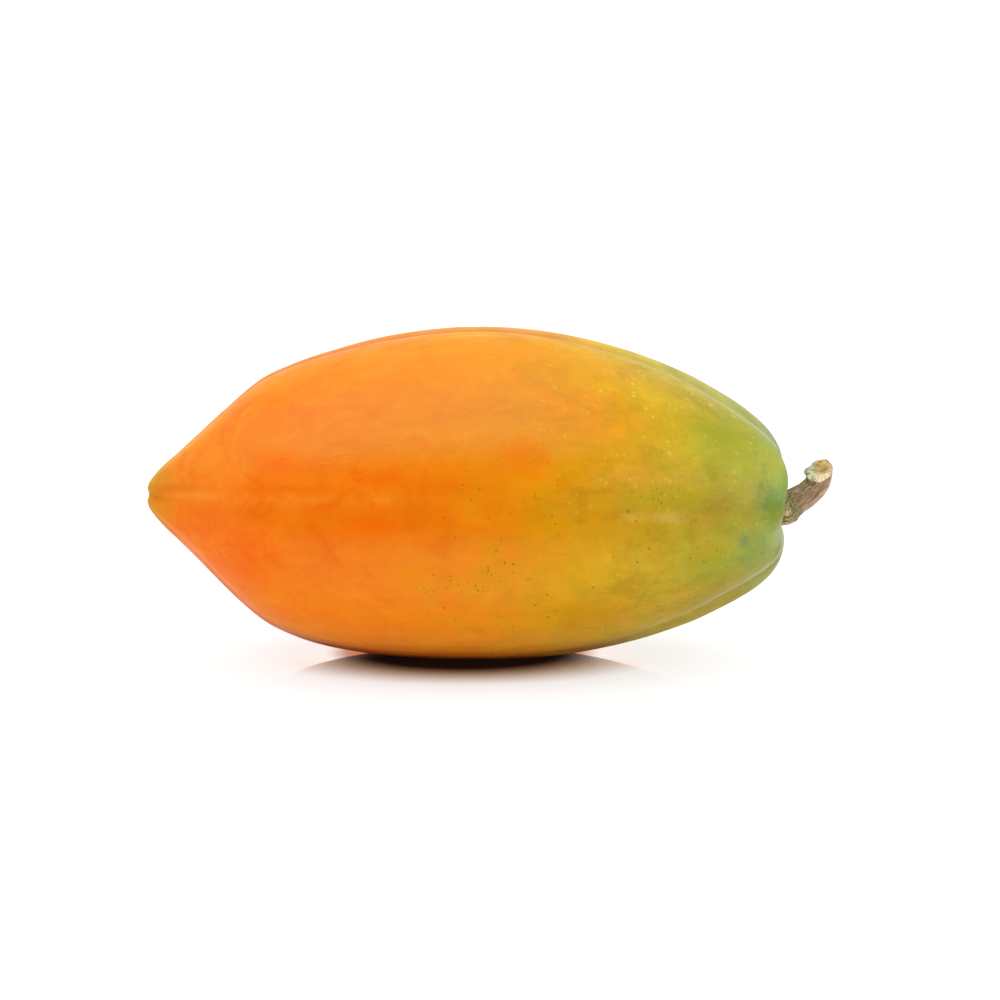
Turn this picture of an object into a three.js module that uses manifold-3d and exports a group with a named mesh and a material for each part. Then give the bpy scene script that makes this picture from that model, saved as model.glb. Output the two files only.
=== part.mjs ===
// Papaya: one ripe, five-lobed fruit lying on its side, with a short cut length of its stalk left on.
// Millimetres, +Z up. The origin is the middle of the small flat spot the fruit rests on. The blossom
// tip points along -X and the stalk along +X.

import * as THREE from 'three';
import { mergeVertices } from 'three/addons/utils/BufferGeometryUtils.js';
import Module from 'manifold-3d';

// ---- driving dimensions ------------------------------------------------------------------------

const TIP = [-128.5, -2.3, 0];   // foot of the blossom tip on the ground, from the rest spot's middle
const ROLL = 14;                // degrees the fruit lies rolled about its length, groove 0 upwards
const AXLE = [0, 65];           // y and height of the line about which it is rolled
const LOBES = 5;
const FACETS_PER_LOBE = 16;     // facets across one lobe
const RINGS = 56;               // rings of facets from the tip to the stalk
const FURROW_WIDTH = 6;         // half width of the groove between two lobes
const SHOULDER_RISE = 0.22;     // raised edge beside a groove, as a share of the groove's depth
const END_TILT = -0.02;         // how far the stalk end leans back, per mm of height
const REST_DEPTH = 20;          // thickness of the block that flattens the rest spot

// Half outline of the fruit, from the tip to the stalk: distance along the axis, radius, heading in
// degrees, and the reach of the curve handles into and out of each joint.
const OUTLINE = [
  { at: 0.9, radius: 0, heading: 90, into: 0, out: 1 },            // bottom of the blossom dimple
  { at: 0, radius: 3.9, heading: 90, into: 1.5, out: 1.7 },        // rim of the dimple
  { at: 9.2, radius: 15.1, heading: 42, into: 5, out: 9 },         // flank of the blunt tip
  { at: 44, radius: 47.2, heading: 36, into: 14, out: 13 },
  { at: 131, radius: 65.8, heading: 0, into: 43.5, out: 36 },      // widest part of the belly
  { at: 222, radius: 43.8, heading: -29.5, into: 23.5, out: 12 },  // shoulder
  { at: 250.1, radius: 16, heading: -90, into: 13, out: 4 },       // rim around the stalk
  { at: 248.5, radius: 8, heading: -100, into: 3, out: 2.5 },
  { at: 247.9, radius: 0, heading: -90, into: 2, out: 0 },         // bottom of the stalk hollow
];

// Height of the fruit's axis above the ground against the distance from the tip.
const AXIS_HEIGHT = [
  [0, 65], [22, 64.3], [60, 63.1], [95, 64.5], [125, 65.5],
  [160, 65.1], [200, 64], [230, 62.8], [250.4, 61.5],
];

// Angle of each groove in degrees at the tip, at the belly and at the stalk end. 0 faces -Y and 90 up.
const GROOVES = [
  [0, 0, -4], [84, 77, 71], [144, 149, 142], [216, 213, 214], [284, 276, 295],
];

// Depth of the grooves, and fullness of the lobes between them, against the share of the outline run.
const GROOVE_DEPTH = [
  [0, 0.2], [0.03, 0.8], [0.08, 0.9], [0.25, 0.5], [0.5, 0.45],
  [0.7, 0.8], [0.86, 1.1], [0.93, 0.6], [0.97, 0.3], [1, 0],
];
const LOBE_FULLNESS = [
  [0, 0], [0.05, 0.9], [0.25, 1], [0.5, 1.2], [0.75, 1.5], [0.87, 2], [0.94, 0.8], [1, 0],
];
const LOBE_REACH = [0.2, -1, -1.1, -2.3, -3.3];   // how far each lobe runs on past the stalk end

// Stalk: centre points from its root to past its cut, measured from the tip, and its radius.
const STALK_LINE = [
  [243.4, 0, 59], [250.6, 0, 60.2], [255.1, 0, 62.7], [259.4, -0.5, 65.6],
  [262.5, -2, 69], [263.5, -4.2, 72.4], [263.7, -7, 76], [263.8, -11, 80.5],
];
const STALK_RADIUS = [
  [0, 6.2], [0.17, 7], [0.22, 6.8], [0.28, 5.6], [0.35, 5.3], [0.48, 5], [0.6, 4.8], [1, 4.8],
];
const STALK_FACETS = 28;
const STALK_RINGS = 18;
const STALK_RIDGES = 7;
const RIDGE_HEIGHT = 0.16;
const KNUCKLE = { along: 0.73, angle: 15, rise: 1.4, length: 0.05, spread: 30 };   // old leaf scar
const CUT_CENTRE = [263.6, -5.6, 74.5];
const CUT_FACING = [-0.36, -0.8, 0.48];
const SOCKET_GAP = 0.3;         // clearance all round the stalk's root

// ---- helpers -----------------------------------------------------------------------------------

const wasm = await Module();
wasm.setup();

const ease = (t) => THREE.MathUtils.smoothstep(t, 0, 1);
const turn = (degrees) => THREE.MathUtils.degToRad(degrees);

// Value between stations, level at each of them.
function blend(stations, x) {
  const next = stations.findIndex(([at]) => at >= x);
  if (next <= 0) {
    return stations[next < 0 ? stations.length - 1 : 0][1];
  }
  const [x0, y0] = stations[next - 1];
  const [x1, y1] = stations[next];
  return y0 + (y1 - y0) * ease((x - x0) / (x1 - x0));
}

// Slope of a station list at one of its stations.
function slopeAt(stations, i) {
  const [x0, y0] = stations[Math.max(i - 1, 0)];
  const [x1, y1] = stations[Math.min(i + 1, stations.length - 1)];
  return (y1 - y0) / (x1 - x0);
}

// Smooth curve through stations.
function curveThrough(stations, x) {
  const last = stations.length - 1;
  const found = stations.findIndex(([at]) => at > x);
  const next = found < 0 ? last : Math.max(found, 1);
  const [x0, y0] = stations[next - 1];
  const [x1, y1] = stations[next];
  const run = x1 - x0;
  const t = THREE.MathUtils.clamp((x - x0) / run, 0, 1);
  const bend0 = run * slopeAt(stations, next - 1);
  const bend1 = run * slopeAt(stations, next);
  const t2 = t * t;
  const t3 = t2 * t;
  return (2 * t3 - 3 * t2 + 1) * y0 + (t3 - 2 * t2 + t) * bend0
    + (3 * t2 - 2 * t3) * y1 + (t3 - t2) * bend1;
}

// Keeps positions only and joins the corners that meet, so that a geometry is one closed body.
function closed(geometry) {
  geometry.deleteAttribute('normal');
  geometry.deleteAttribute('uv');
  return mergeVertices(geometry, 1e-4);
}

function toSolid(geometry) {
  return new wasm.Manifold(new wasm.Mesh({
    numProp: 3,
    vertProperties: new Float32Array(geometry.getAttribute('position').array),
    triVerts: new Uint32Array(geometry.index.array),
  }));
}

function toGeometry(solid) {
  const { vertProperties, triVerts } = solid.getMesh();
  const geometry = new THREE.BufferGeometry();
  geometry.setAttribute('position', new THREE.BufferAttribute(vertProperties, 3));
  geometry.setIndex(new THREE.BufferAttribute(triVerts, 1));
  geometry.computeVertexNormals();
  return geometry;
}

// ---- fruit -------------------------------------------------------------------------------------

// Half outline as a run of smooth curves; x is the distance from the tip and y the radius.
function outlinePath() {
  const path = new THREE.CurvePath();
  const handle = (joint, reach) => new THREE.Vector2(
    joint.at + reach * Math.cos(turn(joint.heading)),
    joint.radius + reach * Math.sin(turn(joint.heading)),
  );
  OUTLINE.slice(1).forEach((end, i) => {
    const start = OUTLINE[i];
    path.add(new THREE.CubicBezierCurve(
      handle(start, 0), handle(start, start.out), handle(end, -end.into), handle(end, 0),
    ));
  });
  return path;
}

// Angle of a groove at a share of the outline. Groove 5 is groove 0 one turn on.
function grooveAngle(index, share) {
  const [tip, belly, stalk] = GROOVES[index % LOBES];
  const early = ease(share / 0.5);
  const late = ease((share - 0.5) / 0.45);
  return tip + (belly - tip) * early + (stalk - belly) * late + (index >= LOBES ? 360 : 0);
}

// How far the skin stands off the plain outline. Crest runs from 0 in a groove to 1 on a lobe.
function skinLift(share, crest, halfLobe) {
  const fullness = blend(LOBE_FULLNESS, share);
  const depth = blend(GROOVE_DEPTH, share);
  const width = Math.min(FURROW_WIDTH / Math.max(halfLobe, 1e-6), 0.42);
  const groove = Math.exp(-((crest / width) ** 2));
  const shoulder = Math.exp(-(((crest / width - 2.1) / 0.9) ** 2));
  return -0.5 * fullness * Math.cos(Math.PI * crest)
    - depth * groove + SHOULDER_RISE * depth * shoulder;
}

// One point of the skin: share of the outline, which lobe, and the share of the way across it.
function skinPoint(path, share, lobe, across) {
  const spot = path.getPoint(share);
  const heading = path.getTangent(share);
  const start = grooveAngle(lobe, share);
  const span = grooveAngle(lobe + 1, share) - start;
  const angle = turn(start + span * across);
  const crest = 2 * Math.min(across, 1 - across);
  const calm = THREE.MathUtils.clamp(spot.y / 3, 0, 1);
  const lift = calm * skinLift(share, crest, turn(span / 2) * spot.y);
  const radius = spot.y + heading.x * lift;
  const reach = calm * LOBE_REACH[lobe] * ease(crest) * ease((share - 0.78) / 0.17);
  const lean = END_TILT * radius * Math.sin(angle) * ease((share - 0.7) / 0.3);
  return new THREE.Vector3(
    spot.x - heading.y * lift + reach + lean,
    -radius * Math.cos(angle),
    curveThrough(AXIS_HEIGHT, spot.x) + radius * Math.sin(angle),
  );
}

// A sphere's grid laid over the skin, closer together in the grooves and at the two ends.
function fruitGeometry() {
  const path = outlinePath();
  const ball = new THREE.SphereGeometry(1, LOBES * FACETS_PER_LOBE, RINGS);
  const position = ball.getAttribute('position');
  const uv = ball.getAttribute('uv');
  for (let i = 0; i < position.count; i += 1) {
    const along = Math.round((1 - uv.getY(i)) * RINGS) / RINGS;
    const share = 0.3 * along + 0.35 * (1 - Math.cos(Math.PI * along));
    const step = Math.round(uv.getX(i) * LOBES * FACETS_PER_LOBE);
    const lobe = THREE.MathUtils.euclideanModulo(Math.floor(step / FACETS_PER_LOBE), LOBES);
    const even = (step % FACETS_PER_LOBE) / FACETS_PER_LOBE;
    const near = 0.5 * (2 * Math.min(even, 1 - even)) ** 1.5;
    const point = skinPoint(path, share, lobe, even > 0.5 ? 1 - near : near);
    position.setXYZ(i, point.x, point.y, point.z);
  }
  return closed(ball);
}

// ---- stalk -------------------------------------------------------------------------------------

// Radius of the stalk at a share of its length, with the bark's low ridges and the leaf scar.
function stalkRadius(share, angle) {
  const ridge = RIDGE_HEIGHT * Math.cos(STALK_RIDGES * angle + 2 * share);
  const off = THREE.MathUtils.euclideanModulo(angle - turn(KNUCKLE.angle) + Math.PI, 2 * Math.PI)
    - Math.PI;
  const bump = KNUCKLE.rise * Math.exp(-((off / turn(KNUCKLE.spread)) ** 2)
    - (((share - KNUCKLE.along) / KNUCKLE.length) ** 2));
  return blend(STALK_RADIUS, share) + ridge + bump;
}

// A cylinder bent along the stalk's line. Swell makes it thicker, and its root deeper, all round.
function stalkGeometry(swell) {
  const line = new THREE.CatmullRomCurve3(STALK_LINE.map((p) => new THREE.Vector3(...p)));
  const rod = new THREE.CylinderGeometry(1, 1, 1, STALK_FACETS, STALK_RINGS);
  const position = rod.getAttribute('position');
  for (let i = 0; i < position.count; i += 1) {
    const share = Math.round((position.getY(i) + 0.5) * STALK_RINGS) / STALK_RINGS;
    const reach = Math.hypot(position.getX(i), position.getZ(i)) > 0.5 ? 1 : 0;
    const facet = (2 * Math.PI) / STALK_FACETS;
    const step = Math.round(Math.atan2(position.getX(i), position.getZ(i)) / facet);
    const angle = facet * THREE.MathUtils.euclideanModulo(step, STALK_FACETS);
    const ahead = line.getTangentAt(share);
    const up = new THREE.Vector3(0, 1, 0).cross(ahead).negate().normalize();
    const side = new THREE.Vector3().crossVectors(ahead, up);
    const radius = reach * (stalkRadius(share, angle) + swell);
    const point = line.getPointAt(share)
      .addScaledVector(up, radius * Math.cos(angle))
      .addScaledVector(side, radius * Math.sin(angle))
      .addScaledVector(ahead, share === 0 ? -swell : 0);
    position.setXYZ(i, point.x, point.y, point.z);
  }
  return closed(rod);
}

// A box whose near face lies on the slanting cut, facing out along it.
function cutBlock() {
  const facing = new THREE.Vector3(...CUT_FACING).normalize();
  const block = new THREE.BoxGeometry(40, 40, 40).translate(0, 0, 20);
  const swing = new THREE.Quaternion().setFromUnitVectors(new THREE.Vector3(0, 0, 1), facing);
  return closed(block.applyQuaternion(swing).translate(...CUT_CENTRE));
}

// ---- assembly ----------------------------------------------------------------------------------

// Rolls a body made with groove 0 level into the way the whole fruit lies.
function rolled(geometry) {
  const [y, z] = AXLE;
  return geometry.translate(0, -y, -z).rotateX(turn(-ROLL)).translate(0, y, z);
}

function buildFruit() {
  const ground = new THREE.BoxGeometry(300, 200, REST_DEPTH).translate(125, 0, -REST_DEPTH / 2);
  const body = toSolid(rolled(fruitGeometry()))
    .subtract(toSolid(closed(ground)))
    .subtract(toSolid(rolled(stalkGeometry(SOCKET_GAP))));
  const skin = new THREE.MeshStandardMaterial({ color: 0xe09032, roughness: 0.4, metalness: 0 });
  const fruit = new THREE.Mesh(toGeometry(body), skin);
  fruit.name = 'fruit';
  return fruit;
}

function buildStalk() {
  const body = toSolid(rolled(stalkGeometry(0))).subtract(toSolid(rolled(cutBlock())));
  const bark = new THREE.MeshStandardMaterial({ color: 0x9a7a5c, roughness: 0.85, metalness: 0 });
  const stalk = new THREE.Mesh(toGeometry(body), bark);
  stalk.name = 'stem';
  return stalk;
}

const papaya = new THREE.Group();
papaya.position.set(...TIP);
papaya.add(buildFruit(), buildStalk());

const root = new THREE.Group();
root.add(papaya);

export default root;
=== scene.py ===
"""Papaya: one ripe, softly lobed fruit on its side with a cut stalk, on a white studio floor.

Everything is in metres, +Z up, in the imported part's own frame: the origin is the middle of the small
flat spot that the fruit rests on, the blossom tip points along -X and the stalk along +X. Sizes in the
classes are millimetres where their names or notes say so, as a grower's sheet would give them.
"""

import logging
import math
from dataclasses import dataclass, field
from enum import Enum
from typing import Sequence

import bmesh
import bpy
import numpy as np
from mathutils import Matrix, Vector, noise


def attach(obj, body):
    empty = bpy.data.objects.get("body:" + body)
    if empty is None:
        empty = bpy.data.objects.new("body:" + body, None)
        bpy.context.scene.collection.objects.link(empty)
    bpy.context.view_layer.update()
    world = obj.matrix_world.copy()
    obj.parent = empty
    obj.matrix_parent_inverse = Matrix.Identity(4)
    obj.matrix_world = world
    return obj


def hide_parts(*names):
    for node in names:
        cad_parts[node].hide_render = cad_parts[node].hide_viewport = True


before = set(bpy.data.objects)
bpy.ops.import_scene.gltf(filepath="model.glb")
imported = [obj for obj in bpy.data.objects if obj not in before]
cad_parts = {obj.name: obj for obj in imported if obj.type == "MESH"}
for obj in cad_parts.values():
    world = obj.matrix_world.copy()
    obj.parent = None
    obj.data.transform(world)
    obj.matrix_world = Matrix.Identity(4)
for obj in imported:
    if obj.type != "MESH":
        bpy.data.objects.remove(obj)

logging.basicConfig(level=logging.INFO, format="%(message)s")
log = logging.getLogger("papaya")

MM = 0.001
TIP = np.array([-128.5, -2.3, 0.0])  # foot of the blossom tip on the floor, in millimetres
ROLL = 14.0  # degrees the fruit lies rolled about its length, groove 0 upwards
AXLE = 65.0  # height of the line about which it is rolled, in millimetres
Stations = Sequence[tuple[float, float]]
Socket = bpy.types.NodeSocket


class Work(Enum):
    """What a Math node does with its two values."""

    ADD = "ADD"
    SUBTRACT = "SUBTRACT"
    MULTIPLY = "MULTIPLY"
    DIVIDE = "DIVIDE"
    MAXIMUM = "MAXIMUM"


class Lay(Enum):
    """How one colour is laid over another."""

    OVER = "MIX"
    FILTER = "MULTIPLY"


# ---- curves ------------------------------------------------------------------------------------


def ease(t: np.ndarray) -> np.ndarray:
    """Smooth step from 0 to 1.

    Args:
        t: Values, of which those outside 0 to 1 are clamped.

    Returns:
        The eased values.
    """
    t = np.clip(t, 0.0, 1.0)
    return t * t * (3.0 - 2.0 * t)


def blend(stations: Stations, x: np.ndarray) -> np.ndarray:
    """Value between stations, level at each of them.

    Args:
        stations: Pairs of place and value, in rising order of place.
        x: Places to read.

    Returns:
        One value for each place.
    """
    places, values = np.array(stations, dtype=float).T
    i = np.clip(np.searchsorted(places, x) - 1, 0, len(places) - 2)
    t = ease((x - places[i]) / (places[i + 1] - places[i]))
    return values[i] + (values[i + 1] - values[i]) * t


def curve_through(stations: Stations, x: np.ndarray) -> np.ndarray:
    """Smooth curve that passes through every station.

    Args:
        stations: Pairs of place and value, in rising order of place.
        x: Places to read.

    Returns:
        One value for each place.
    """
    places, values = np.array(stations, dtype=float).T
    slopes = np.empty_like(values)
    slopes[1:-1] = (values[2:] - values[:-2]) / (places[2:] - places[:-2])
    slopes[0] = (values[1] - values[0]) / (places[1] - places[0])
    slopes[-1] = (values[-1] - values[-2]) / (places[-1] - places[-2])
    i = np.clip(np.searchsorted(places, x, side="right") - 1, 0, len(places) - 2)
    run = places[i + 1] - places[i]
    t = np.clip((x - places[i]) / run, 0.0, 1.0)
    return (
        (2 * t**3 - 3 * t**2 + 1) * values[i]
        + (t**3 - 2 * t**2 + t) * run * slopes[i]
        + (3 * t**2 - 2 * t**3) * values[i + 1]
        + (t**3 - t**2) * run * slopes[i + 1]
    )


def wander(points: np.ndarray, size: float, seed: float) -> np.ndarray:
    """Soft random value at each point, between about -1 and 1.

    Args:
        points: One row of three numbers for each point.
        size: Length over which the value changes.
        seed: Number that moves the pattern to another place.

    Returns:
        One value for each point.
    """
    shift = Vector((seed, 2.3 * seed, -1.7 * seed))
    return np.array([noise.noise(Vector(p) / size + shift) for p in points])


def rolled(spots: np.ndarray) -> np.ndarray:
    """Roll points of the fruit, made with groove 0 level, into the way the whole fruit lies.

    Args:
        spots: Places measured from the foot of the tip, in millimetres.

    Returns:
        Places in the part's frame, in millimetres.
    """
    cos, sin = math.cos(math.radians(ROLL)), math.sin(math.radians(ROLL))
    x, y, z = spots[:, 0], spots[:, 1], spots[:, 2] - AXLE
    return np.column_stack([x, y * cos + z * sin, z * cos - y * sin + AXLE]) + TIP


# ---- meshes ------------------------------------------------------------------------------------


def ball_grid(around: int, along: int) -> tuple[bmesh.types.BMesh, np.ndarray, np.ndarray]:
    """Closed sphere whose grid is later laid over a lobed or bent form.

    Args:
        around: Number of faces round the axis.
        along: Number of rings of faces from pole to pole.

    Returns:
        The mesh, and for each of its points the step round the axis and the step from the first pole.
    """
    mesh = bmesh.new()
    bmesh.ops.create_uvsphere(mesh, u_segments=around, v_segments=along, radius=1.0)
    mesh.verts.ensure_lookup_table()
    spots = np.array([v.co[:] for v in mesh.verts])
    turn = np.arctan2(spots[:, 1], spots[:, 0]) / (2 * math.pi) * around
    fall = np.arccos(np.clip(spots[:, 2], -1.0, 1.0)) / math.pi * along
    return mesh, np.rint(turn).astype(int) % around, np.rint(fall).astype(int)


def finish_piece(
    name: str,
    mesh: bmesh.types.BMesh,
    spots: np.ndarray,
    fields: dict[str, np.ndarray],
    finish: bpy.types.Material,
) -> bpy.types.Object:
    """Move a grid's points into place and turn it into a smooth, named piece.

    Args:
        name: Name of the piece.
        mesh: The grid, which is freed.
        spots: New place of each point, in millimetres.
        fields: Values kept on the points for the material to read, by name.
        finish: The piece's material.

    Returns:
        The finished object, at the origin, unturned and unscaled.
    """
    for vert, spot in zip(mesh.verts, spots * MM):
        vert.co = spot
    bmesh.ops.recalc_face_normals(mesh, faces=mesh.faces)
    for face in mesh.faces:
        face.smooth = True
    data = bpy.data.meshes.new(name)
    mesh.to_mesh(data)
    mesh.free()
    for key, values in fields.items():
        kind = "FLOAT_VECTOR" if values.ndim == 2 else "FLOAT"
        layer = data.attributes.new(key, kind, "POINT")
        layer.data.foreach_set("vector" if values.ndim == 2 else "value", values.ravel())
    piece = bpy.data.objects.new(name, data)
    bpy.context.scene.collection.objects.link(piece)
    data.materials.append(finish)
    return piece


# ---- shader wiring -----------------------------------------------------------------------------


def tone(red: int, green: int, blue: int) -> tuple[float, float, float, float]:
    """Linear colour for a colour given as it looks on a screen.

    Args:
        red: Red, 0 to 255.
        green: Green, 0 to 255.
        blue: Blue, 0 to 255.

    Returns:
        Linear red, green, blue and an alpha of 1.
    """
    parts = [c / 255.0 for c in (red, green, blue)]
    lin = [c / 12.92 if c <= 0.04045 else ((c + 0.055) / 1.055) ** 2.4 for c in parts]
    return (lin[0], lin[1], lin[2], 1.0)


class Wiring:
    """A material's node tree, with one short method for each kind of node that the finishes use."""

    def __init__(self, name: str) -> None:
        """Start an empty material.

        Args:
            name: Name of the material.
        """
        self.material = bpy.data.materials.new(name)
        self.material.use_nodes = True
        self.tree = self.material.node_tree
        self.tree.nodes.clear()
        self.output = self.node("OutputMaterial", {})
        self.place = self.node("TexCoord", {}).outputs["Object"]
        self.colour: Socket | None = None  # the colour so far, for materials made of layers

    def node(self, kind: str, inputs: dict, **settings: object) -> bpy.types.ShaderNode:
        """Add a shader node.

        Args:
            kind: Name of its type, after "ShaderNode".
            inputs: What feeds its inputs, by their name or number: another node's output or a constant.
            **settings: Values of its own settings.

        Returns:
            The node.
        """
        node = self.tree.nodes.new("ShaderNode" + kind)
        for key, value in settings.items():
            setattr(node, key, value)
        for key, value in inputs.items():
            self.put(node.inputs[key], value)
        return node

    def put(self, socket: Socket, value: object) -> None:
        """Feed a socket from another socket, or set it to a constant.

        Args:
            socket: The input to feed.
            value: An output socket, a number, a vector or a colour.
        """
        if isinstance(value, Socket):
            self.tree.links.new(value, socket)
        else:
            socket.default_value = value

    def math(self, work: Work, a: object, b: object) -> Socket:
        """Result of a Math node on two values."""
        return self.node("Math", {0: a, 1: b}, operation=work.value).outputs[0]

    def times(self, first: object, *others: object) -> Socket:
        """Product of two or more values."""
        for other in others:
            first = self.math(Work.MULTIPLY, first, other)
        return first

    def swing(self, pattern: Socket, amount: float) -> Socket:
        """Change to either side of 0, made from a pattern around 0.5."""
        return self.times(self.math(Work.SUBTRACT, pattern, 0.5), amount)

    def field(self, name: str, vector: bool = False) -> Socket:
        """Number or vector kept on the piece's points, by its name."""
        return self.node("Attribute", {}, attribute_name=name).outputs["Vector" if vector else "Fac"]

    def stretch(
        self, vector: Socket, scale: Sequence[float], shift: Sequence[float] = (0, 0, 0)
    ) -> Socket:
        """Coordinates scaled and shifted along each axis, so that a pattern is drawn out."""
        return self.node("Mapping", {"Vector": vector, "Scale": scale, "Location": shift}).outputs[0]

    def cloud(
        self, vector: Socket, scale: float, detail: float = 2.0, rough: float = 0.5, swirl: float = 0.0
    ) -> Socket:
        """Soft random pattern around 0.5: its finer layers, how strong they are, and how it swirls."""
        look = {"Scale": scale, "Detail": detail, "Roughness": rough, "Distortion": swirl}
        return self.node("TexNoise", {"Vector": vector, **look}).outputs[0]

    def step(
        self, value: object, low: float, high: float, to_low: float = 0.0, to_high: float = 1.0
    ) -> Socket:
        """Smooth step of a value from one range to another; low may be above high.

        Args:
            value: The value.
            low: Where the step starts.
            high: Where it ends.
            to_low: Result at the start.
            to_high: Result at the end.

        Returns:
            The stepped value.
        """
        if low > high:
            low, high, to_low, to_high = high, low, to_high, to_low
        inputs = dict(enumerate((value, low, high, to_low, to_high)))
        return self.node("MapRange", inputs, interpolation_type="SMOOTHSTEP").outputs[0]

    def ramp(self, value: Socket, stops: Sequence[tuple]) -> Socket:
        """Colour read from a ramp.

        Args:
            value: Place on the ramp, 0 to 1.
            stops: Pairs of place and linear colour.

        Returns:
            The colour.
        """
        node = self.node("ValToRGB", {0: value})
        node.color_ramp.interpolation = "EASE"
        slots = node.color_ramp.elements
        while len(slots) < len(stops):
            slots.new(0.5)
        for slot, (place, colour) in zip(slots, stops):
            slot.position = place
            slot.color = colour
        return node.outputs[0]

    def mix(self, share: object, a: object, b: object, lay: Lay = Lay.OVER) -> Socket:
        """Blend of two colours, by a share of the second; a Mix node takes colours in inputs 6 and 7."""
        node = self.node("Mix", {0: share, 6: a, 7: b}, data_type="RGBA", blend_type=lay.value)
        return node.outputs[2]

    def dots(self, vector: Socket, scale: float, radius: float, spread: float, soft: float) -> Socket:
        """Scattered round dots of uneven size, one for each cell of a random net.

        Args:
            vector: Coordinates.
            scale: Cells for each unit of the coordinates.
            radius: Radius of the largest dots, in cells.
            spread: Share of the cells' dots that shrink away, 0 to 1.
            soft: Width of a dot's edge, in cells.

        Returns:
            1 in the dots and 0 outside.
        """
        node = self.node("TexVoronoi", {"Vector": vector, "Scale": scale})
        pick = self.node("SeparateColor", {0: node.outputs["Color"]})
        size = self.step(pick.outputs[0], spread, 1.0, -soft, radius)
        return self.step(self.math(Work.SUBTRACT, node.outputs["Distance"], size), soft, 0.0)

    def away(self, centre: Sequence[float], reach: Sequence[float]) -> Socket:
        """Distance from a place, 0 there and 1 where a reach along each axis ends; in millimetres."""
        shift = [-c / r for c, r in zip(centre, reach)]
        spot = self.stretch(self.place, [1.0 / (size * MM) for size in reach], shift)
        return self.node("VectorMath", {0: spot}, operation="LENGTH").outputs["Value"]

    def near(self, centre: Sequence[float], reach: Sequence[float], ragged: object = 0.0) -> Socket:
        """Soft patch, 1 in its middle and 0 outside its reach; ragged frays its edge."""
        return self.step(self.math(Work.ADD, self.away(centre, reach), ragged), 1.0, 0.0)

    def before_roll(self) -> Socket:
        """Coordinates measured from the tip, along the fruit's axis as it was before the roll."""
        foot, turn = (TIP[0] * MM, TIP[1] * MM, AXLE * MM), (-math.radians(ROLL), 0.0, 0.0)
        inputs = {"Vector": self.place, "Location": foot, "Rotation": turn}
        return self.node("Mapping", inputs, vector_type="TEXTURE").outputs[0]

    def paint(self, share: object, colour: object, lay: Lay = Lay.OVER) -> None:
        """Lay a colour on the one so far, by a share."""
        self.colour = self.mix(share, self.colour, colour, lay)

    def dye(self, share: object, through: Sequence[float]) -> None:
        """Lay a filter on the colour so far, by a share."""
        self.paint(share, (*through, 1.0), Lay.FILTER)

    def parts(self, vector: Socket) -> list[Socket]:
        """The three numbers of a vector, each as an output."""
        return list(self.node("SeparateXYZ", {0: vector}).outputs)

    def relief(self, layers: Sequence[tuple]) -> Socket:
        """Bumps for a surface, added up from layers.

        Args:
            layers: Pairs of a pattern and its height in metres.

        Returns:
            The normal that a shader takes.
        """
        total = None
        for pattern, height in layers:
            part = self.times(pattern, height)
            total = part if total is None else self.math(Work.ADD, total, part)
        inputs = {"Strength": 1.0, "Distance": 1.0, "Height": total}
        return self.node("Bump", inputs).outputs[0]

    def surface(self, **sockets: object) -> bpy.types.Material:
        """Close the material with its surface shader.

        Args:
            **sockets: The shader's inputs, with an underscore for each space in their names.

        Returns:
            The finished material.
        """
        inputs = {key.replace("_", " "): value for key, value in sockets.items()}
        shader = self.node("BsdfPrincipled", inputs)
        self.put(self.output.inputs["Surface"], shader.outputs[0])
        return self.material


# ---- finishes ----------------------------------------------------------------------------------


@dataclass(frozen=True)
class Patch:
    """Soft-edged patch of colour on the skin, placed in millimetres from the tip, on the axis."""

    centre: tuple[float, float, float]
    reach: tuple[float, float, float]
    colour: tuple[float, float, float, float]
    strength: float
    ragged: float = 1.0


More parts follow.
